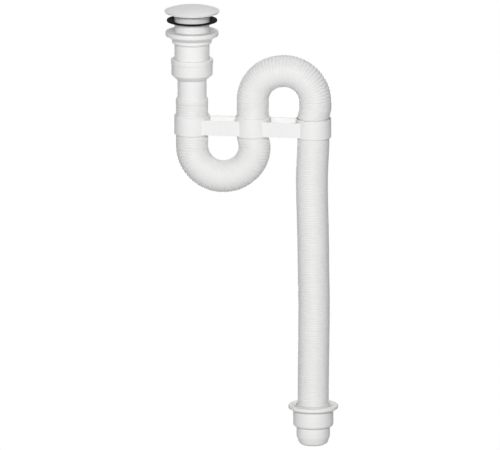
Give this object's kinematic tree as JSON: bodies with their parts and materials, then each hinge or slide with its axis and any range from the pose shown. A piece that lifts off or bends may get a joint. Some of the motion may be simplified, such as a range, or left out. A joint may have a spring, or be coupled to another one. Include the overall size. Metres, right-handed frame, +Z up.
{
  "type": "corrugated trap",
  "caption": "White plastic basin waste with a push-open stopper, a corrugated hose held in an S by a three-ring clip, and a 40 mm outlet spigot.",
  "frame": {"origin": "on the waste's axis, in the plane of the flange's underside, which sits on the basin", "axes": "+Z up along the waste's axis, +X from the waste towards the outlet leg"},
  "size_m": [0.2088, 0.0658, 0.5307],
  "materials": {
    "white_plastic": "satin",
    "hose_plastic": "satin",
    "black_rubber": "matte",
    "pale_rubber": "matte",
    "spring_steel": "polished"
  },
  "bodies": {
    "trap": {"waste_body": "white_plastic", "cartridge_sleeve": "white_plastic", "cartridge_bush": "white_plastic", "cartridge_spring": "spring_steel", "basin_washer": "black_rubber", "union_seal": "black_rubber", "inlet_tail": "white_plastic", "hose_lower_bend": "hose_plastic", "hose_middle_leg": "hose_plastic", "hose_upper_bend": "hose_plastic", "hose_drop": "hose_plastic", "clip": "white_plastic"},
    "stopper": {"stopper_cap": "white_plastic", "stopper_seal": "black_rubber", "plunger": "white_plastic"},
    "backnut": {"backnut": "white_plastic"},
    "union_nut": {"union_nut": "white_plastic"},
    "outlet": {"outlet_connector": "white_plastic", "outlet_seal": "pale_rubber"}
  },
  "joints": [
    {"name": "stopper_lift", "type": "slide", "parent": "trap", "child": "stopper", "axis": [0, 0, 1], "range_m": [0, 0.008], "deforming": ["cartridge_spring"]},
    {"name": "backnut_turn", "type": "hinge", "parent": "trap", "child": "backnut", "pos_m": [0, 0, -0.0289], "axis": [0, 0, 1], "continuous": true},
    {"name": "union_nut_turn", "type": "hinge", "parent": "trap", "child": "union_nut", "pos_m": [0, 0, -0.0671], "axis": [0, 0, 1], "continuous": true},
    {"name": "outlet_extend", "type": "slide", "parent": "trap", "child": "outlet", "axis": [0, 0, -1], "range_m": [-0.04, 0.1], "deforming": ["hose_drop"]}
  ]
}
